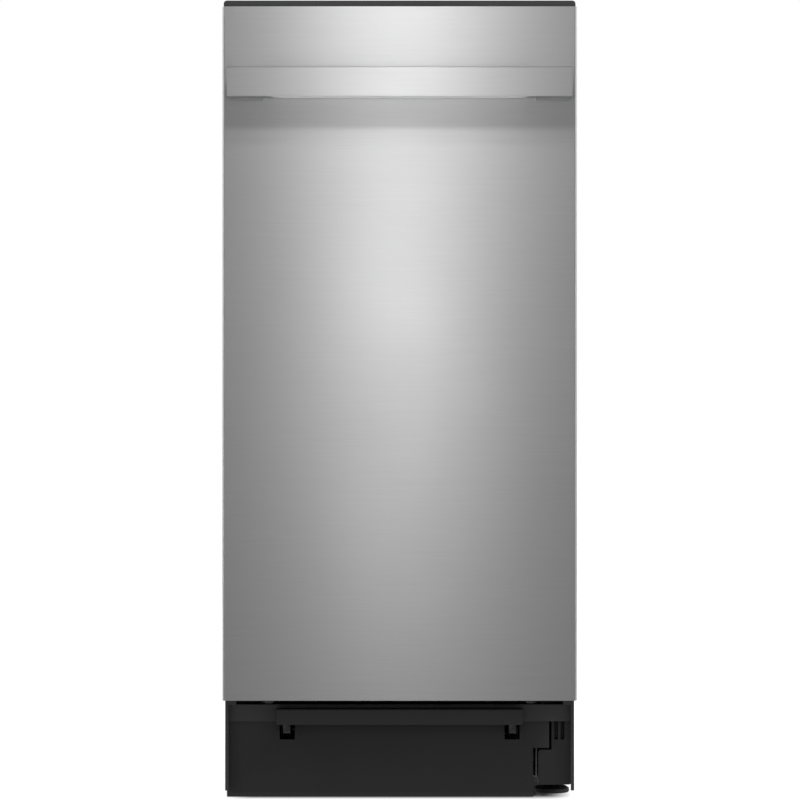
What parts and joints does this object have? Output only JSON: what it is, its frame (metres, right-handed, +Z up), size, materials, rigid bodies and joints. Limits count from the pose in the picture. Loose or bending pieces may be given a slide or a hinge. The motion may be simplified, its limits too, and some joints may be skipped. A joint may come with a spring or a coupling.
{
  "type": "built-in trash compactor",
  "caption": "Narrow built-in waste compactor for a worktop: steel drawer front, bar handle, toe bar, sliding bin, and a ram on power screws driven by a motor and chain.",
  "frame": {"origin": "on the floor at the middle of the closed unit's bounding box", "axes": "+X to the right as the user faces the unit, -Y out of the drawer front, +Z up"},
  "size_m": [0.381, 0.658, 0.864],
  "materials": {
    "stainless": "fine horizontal brushing, satin",
    "black_paint": "satin black powder coat",
    "cabinet_paint": "low-gloss dark grey enamel",
    "galvanised": "zinc coated sheet, dull",
    "frame_steel": "grey primer",
    "black_plastic": "fine grain",
    "grey_plastic": "satin",
    "white_plastic": "natural nylon, satin",
    "bin_plastic": "moulded, light grey",
    "blue_plastic": "satin",
    "ram_paint": "grey enamel",
    "screw_steel": "bright rolled thread, oiled",
    "bronze": "sintered bronze",
    "motor_paint": "satin black enamel",
    "copper": "enamelled winding wire on steel plates",
    "chain_steel": "oiled roller chain",
    "spring_steel": "bright spring wire",
    "rubber": "soft black",
    "charcoal": "carbon granules in a mesh",
    "screw_zinc": "zinc plated"
  },
  "bodies": {
    "cabinet": {"base_pan": "black_paint", "front_rail": "black_paint", "toe_plate": "black_paint", "side_panel_left": "cabinet_paint", "side_panel_right": "cabinet_paint", "back_panel": "galvanised", "top_panel": "cabinet_paint", "upright_left": "frame_steel", "upright_right": "frame_steel", "top_crossmember": "frame_steel", "screw_bearings": "galvanised", "drawer_track_left": "galvanised", "drawer_track_right": "galvanised", "motor_housing": "motor_paint", "motor_stator": "copper", "motor_mount": "frame_steel", "gear_axle": "screw_steel", "drive_chain": "chain_steel", "interlock_switches": "black_plastic", "terminal_box": "galvanised", "wiring_harness": "black_plastic", "foot_housings": "black_plastic", "pedal_hinge": "black_paint", "pedal_springs": "spring_steel", "cabinet_screws": "screw_zinc", "fan_housing": "black_plastic", "charcoal_filter": "charcoal"},
    "drawer": {"front_panel": "stainless", "front_liner": "cabinet_paint", "console": "black_plastic", "handle": "stainless", "handle_screws": "screw_zinc", "drawer_chassis": "black_paint", "drawer_tray": "galvanised", "bin": "bin_plastic", "bag_clips": "black_plastic", "drawer_gasket": "rubber"},
    "bin_side": {"bin_side": "bin_plastic"},
    "bin_latch": {"bin_latch": "blue_plastic"},
    "start_button": {"start_button": "grey_plastic"},
    "stop_button": {"stop_button": "grey_plastic"},
    "pack_button": {"pack_button": "grey_plastic"},
    "key_knob": {"key_knob": "grey_plastic"},
    "ram": {"ram_plate": "ram_paint", "ram_box": "ram_paint", "ram_beam": "ram_paint", "ram_nuts": "bronze", "ram_shoes": "white_plastic"},
    "power_screw_left": {"power_screw_left": "screw_steel"},
    "power_screw_right": {"power_screw_right": "screw_steel"},
    "drive_gear": {"drive_gear": "white_plastic"},
    "motor_rotor": {"motor_rotor": "screw_steel"},
    "pedal": {"toe_bar": "black_paint", "kick_springs": "spring_steel"},
    "levelling_foot_left": {"levelling_foot_left": "black_plastic"},
    "levelling_foot_right": {"levelling_foot_right": "black_plastic"},
    "rear_rollers": {"rear_rollers": "white_plastic"},
    "drawer_rollers": {"drawer_rollers": "white_plastic"},
    "track_rollers": {"track_rollers": "white_plastic"},
    "fan_rotor": {"fan_rotor": "black_plastic"}
  },
  "joints": [
    {"name": "drawer_slide", "type": "slide", "parent": "cabinet", "child": "drawer", "axis": [0, -1, 0], "range_m": [0, 0.396]},
    {"name": "ram_slide", "type": "slide", "parent": "cabinet", "child": "ram", "axis": [0, 0, -1], "range_m": [0, 0.262]},
    {"name": "motor_spin", "type": "hinge", "parent": "cabinet", "child": "motor_rotor", "pos_m": [0, 0.2708, 0.1], "axis": [0, 0, 1], "range_deg": [-10, 74307]},
    {"name": "drive_gear_spin", "type": "hinge", "parent": "cabinet", "child": "drive_gear", "pos_m": [0, 0.2183, 0.06], "axis": [0, 0, 1], "range_deg": [-14864, 5]},
    {"name": "left_screw_spin", "type": "hinge", "parent": "cabinet", "child": "power_screw_left", "pos_m": [-0.166, -0.03, 0.4], "axis": [0, 0, 1], "range_deg": [-14864, 5]},
    {"name": "right_screw_spin", "type": "hinge", "parent": "cabinet", "child": "power_screw_right", "pos_m": [0.166, -0.03, 0.4], "axis": [0, 0, 1], "range_deg": [-14864, 5]},
    {"name": "pedal_press", "type": "hinge", "parent": "cabinet", "child": "pedal", "pos_m": [0, -0.195, 0.072], "axis": [1, 0, 0], "range_deg": [0, 10], "stiffness_Nm_per_rad": 4, "springref_deg": -11.46, "deforming": ["kick_springs"]},
    {"name": "bin_side_tilt", "type": "hinge", "parent": "drawer", "child": "bin_side", "pos_m": [0.112, -0.03, 0.1295], "axis": [0, 1, 0], "range_deg": [0, 3.4]},
    {"name": "bin_latch_turn", "type": "hinge", "parent": "drawer", "child": "bin_latch", "pos_m": [0.07, -0.231, 0.5209], "axis": [0, 1, 0], "range_deg": [-80, 0]},
    {"name": "start_button_press", "type": "slide", "parent": "drawer", "child": "start_button", "axis": [0, 0, -1], "range_m": [0, 0.0025], "stiffness_N_per_m": 400, "springref_m": -0.002},
    {"name": "stop_button_press", "type": "slide", "parent": "drawer", "child": "stop_button", "axis": [0, 0, -1], "range_m": [0, 0.0025], "stiffness_N_per_m": 400, "springref_m": -0.002},
    {"name": "pack_button_press", "type": "slide", "parent": "drawer", "child": "pack_button", "axis": [0, 0, -1], "range_m": [0, 0.0025], "stiffness_N_per_m": 400, "springref_m": -0.002},
    {"name": "key_turn", "type": "hinge", "parent": "drawer", "child": "key_knob", "pos_m": [0.1245, -0.2624, 0.86], "axis": [0, 0, -1], "range_deg": [0, 90]},
    {"name": "left_foot_adjust", "type": "slide", "parent": "cabinet", "child": "levelling_foot_left", "axis": [0, 0, -1], "range_m": [0, 0.014]},
    {"name": "right_foot_adjust", "type": "slide", "parent": "cabinet", "child": "levelling_foot_right", "axis": [0, 0, -1], "range_m": [0, 0.014]},
    {"name": "rear_rollers_spin", "type": "hinge", "parent": "cabinet", "child": "rear_rollers", "pos_m": [0, 0.294, 0.013], "axis": [1, 0, 0], "continuous": true},
    {"name": "drawer_rollers_spin", "type": "hinge", "parent": "drawer", "child": "drawer_rollers", "pos_m": [0, 0.197, 0.1152], "axis": [1, 0, 0], "range_deg": [-5, 2274]},
    {"name": "track_rollers_spin", "type": "hinge", "parent": "cabinet", "child": "track_rollers", "pos_m": [0, -0.213, 0.0958], "axis": [1, 0, 0], "range_deg": [-2274, 5]},
    {"name": "fan_spin", "type": "hinge", "parent": "cabinet", "child": "fan_rotor", "pos_m": [0, 0.2998, 0.7818], "axis": [0, 1, 0], "continuous": true}
  ],
  "couplings": [
    {"joint": "left_screw_spin", "follows": "ram_slide", "rad_per_m": -989.48},
    {"joint": "right_screw_spin", "follows": "ram_slide", "rad_per_m": -989.48},
    {"joint": "drive_gear_spin", "follows": "ram_slide", "rad_per_m": -989.48},
    {"joint": "motor_spin", "follows": "ram_slide", "rad_per_m": 4947.4},
    {"joint": "drawer_rollers_spin", "follows": "drawer_slide", "rad_per_m": 100},
    {"joint": "track_rollers_spin", "follows": "drawer_slide", "rad_per_m": -100}
  ]
}
